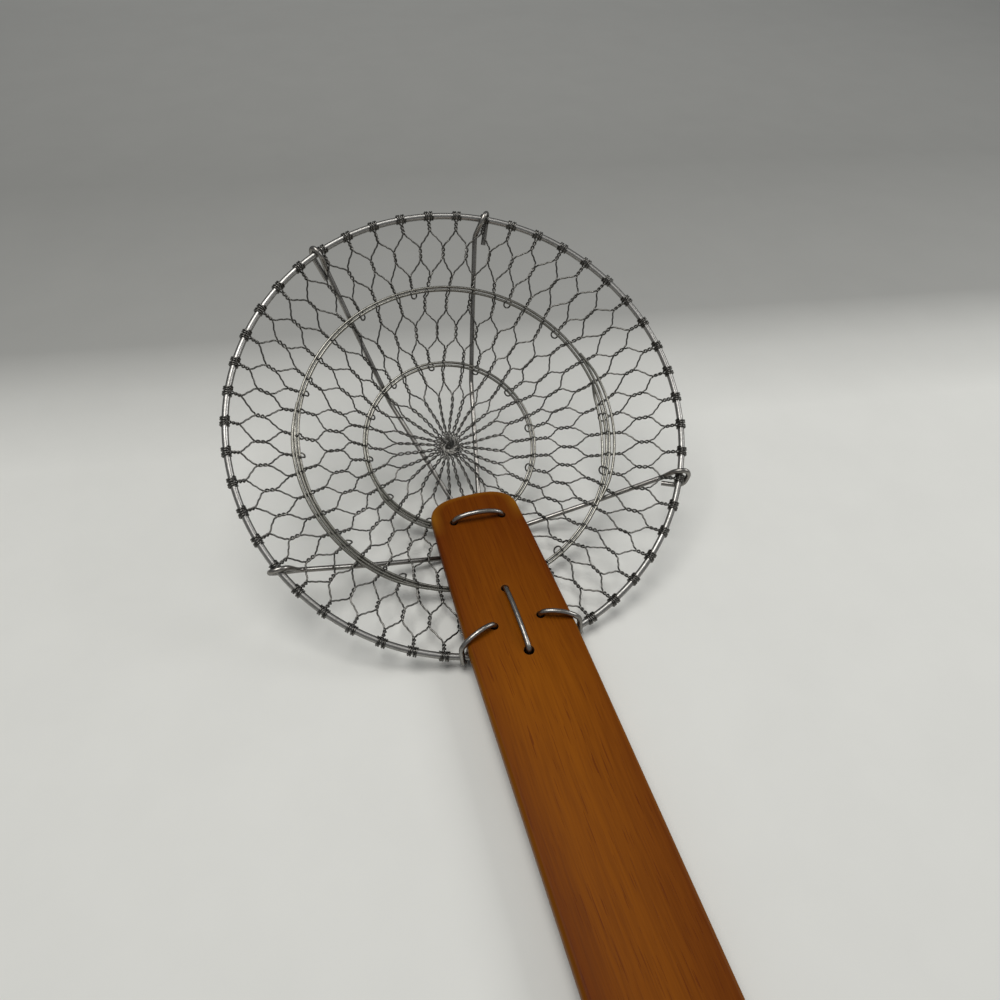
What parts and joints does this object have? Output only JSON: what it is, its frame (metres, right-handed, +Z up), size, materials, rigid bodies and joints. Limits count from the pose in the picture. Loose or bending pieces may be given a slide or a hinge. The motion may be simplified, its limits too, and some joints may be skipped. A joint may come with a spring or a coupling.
{
  "type": "spider skimmer",
  "caption": "Shallow basket of hexagonal wire netting with a rim, hoops and support wires, bound with wire to a flat bamboo handle.",
  "frame": {"origin": "centre of the whole length and width, on the surface that the skimmer lies on", "axes": "+Y from the handle's free end towards the basket, +Z up from the surface, +X right"},
  "size_m": [0.1794, 0.3642, 0.0967],
  "materials": {
    "steel": "bright stainless wire",
    "bamboo": "satin, dark caramel"
  },
  "bodies": {
    "root": {"handle": "bamboo", "rim_wire": "steel", "outer_hoop_upper_strand": "steel", "outer_hoop_lower_strand": "steel", "inner_hoop_upper_strand": "steel", "inner_hoop_lower_strand": "steel", "net_outer": "steel", "net_middle": "steel", "net_centre": "steel", "far_support_wire": "steel", "side_support_wire": "steel", "centre_stitch": "steel", "rim_binding_left": "steel", "rim_binding_right": "steel"}
  },
  "joints": []
}
